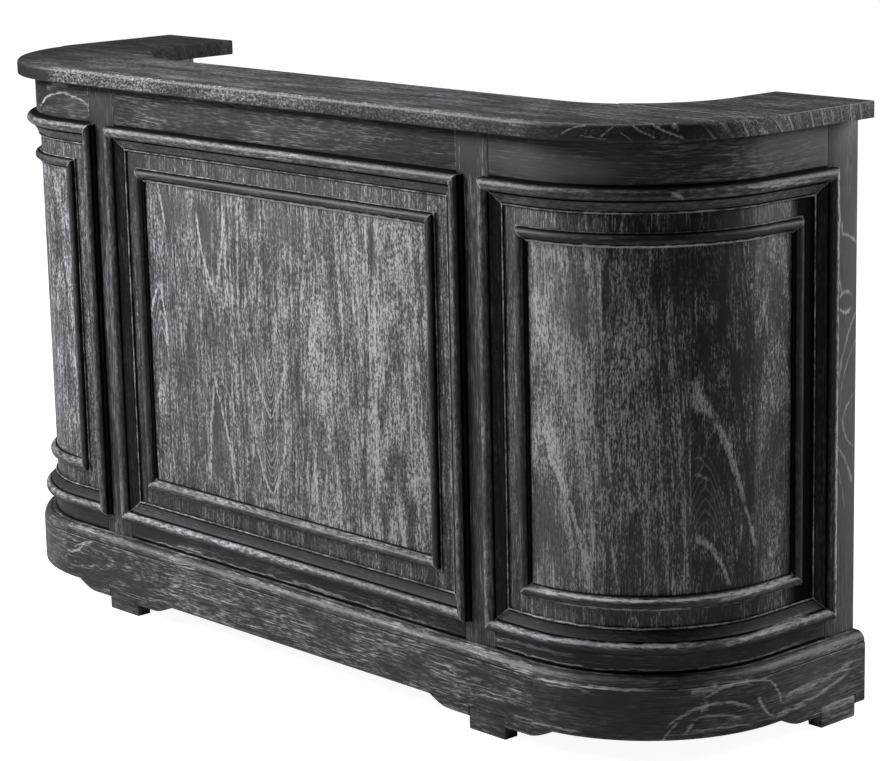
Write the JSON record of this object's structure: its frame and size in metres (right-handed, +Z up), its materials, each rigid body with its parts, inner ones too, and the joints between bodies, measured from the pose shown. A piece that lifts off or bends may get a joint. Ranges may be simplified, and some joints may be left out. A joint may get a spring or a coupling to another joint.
{
  "type": "shop counter",
  "caption": "Shop counter with curved ends, a U-shaped top, framed panel bays, plinth and block feet, open on the staff side.",
  "frame": {"origin": "centre of the bounding box at floor level", "axes": "+Z up; X along the counter's length; the panelled front faces -Y and the open staff side faces +Y"},
  "size_m": [1.876, 0.5296, 1.048],
  "materials": {
    "stained_wood": "black stain with white liming in the grain, waxed matt",
    "stained_wood_inside": "plain dark stain, matt"
  },
  "bodies": {
    "root": {"bottom_board": "stained_wood_inside", "bottom_cleat_centre": "stained_wood_inside", "bottom_cleat_left": "stained_wood_inside", "bottom_cleat_right": "stained_wood_inside", "foot_front_left": "stained_wood", "foot_front_right": "stained_wood", "foot_rear_left": "stained_wood", "foot_rear_right": "stained_wood", "frieze_rail_centre": "stained_wood", "frieze_rail_left": "stained_wood", "frieze_rail_right": "stained_wood", "inner_moulding_centre_bottom": "stained_wood", "inner_moulding_centre_left": "stained_wood", "inner_moulding_centre_right": "stained_wood", "inner_moulding_centre_top": "stained_wood", "inner_moulding_left_bottom": "stained_wood", "inner_moulding_left_left": "stained_wood", "inner_moulding_left_right": "stained_wood", "inner_moulding_left_top": "stained_wood", "inner_moulding_right_bottom": "stained_wood", "inner_moulding_right_left": "stained_wood", "inner_moulding_right_right": "stained_wood", "inner_moulding_right_top": "stained_wood", "lower_rail_centre": "stained_wood", "lower_rail_left": "stained_wood", "lower_rail_right": "stained_wood", "outer_moulding_centre_bottom": "stained_wood", "outer_moulding_centre_left": "stained_wood", "outer_moulding_centre_right": "stained_wood", "outer_moulding_centre_top": "stained_wood", "outer_moulding_left_bottom": "stained_wood", "outer_moulding_left_left": "stained_wood", "outer_moulding_left_right": "stained_wood", "outer_moulding_left_top": "stained_wood", "outer_moulding_right_bottom": "stained_wood", "outer_moulding_right_left": "stained_wood", "outer_moulding_right_right": "stained_wood", "outer_moulding_right_top": "stained_wood", "panel_centre": "stained_wood", "panel_left": "stained_wood", "panel_right": "stained_wood", "plinth_front": "stained_wood", "plinth_left": "stained_wood", "plinth_right": "stained_wood", "post_front_left": "stained_wood", "post_front_right": "stained_wood", "post_rear_left": "stained_wood", "post_rear_right": "stained_wood", "shelf": "stained_wood_inside", "shelf_cleat_centre": "stained_wood_inside", "shelf_cleat_left": "stained_wood_inside", "shelf_cleat_right": "stained_wood_inside", "top_cleat_centre": "stained_wood_inside", "top_cleat_left": "stained_wood_inside", "top_cleat_right": "stained_wood_inside", "top_front": "stained_wood", "top_left": "stained_wood", "top_right": "stained_wood"}
  },
  "joints": []
}
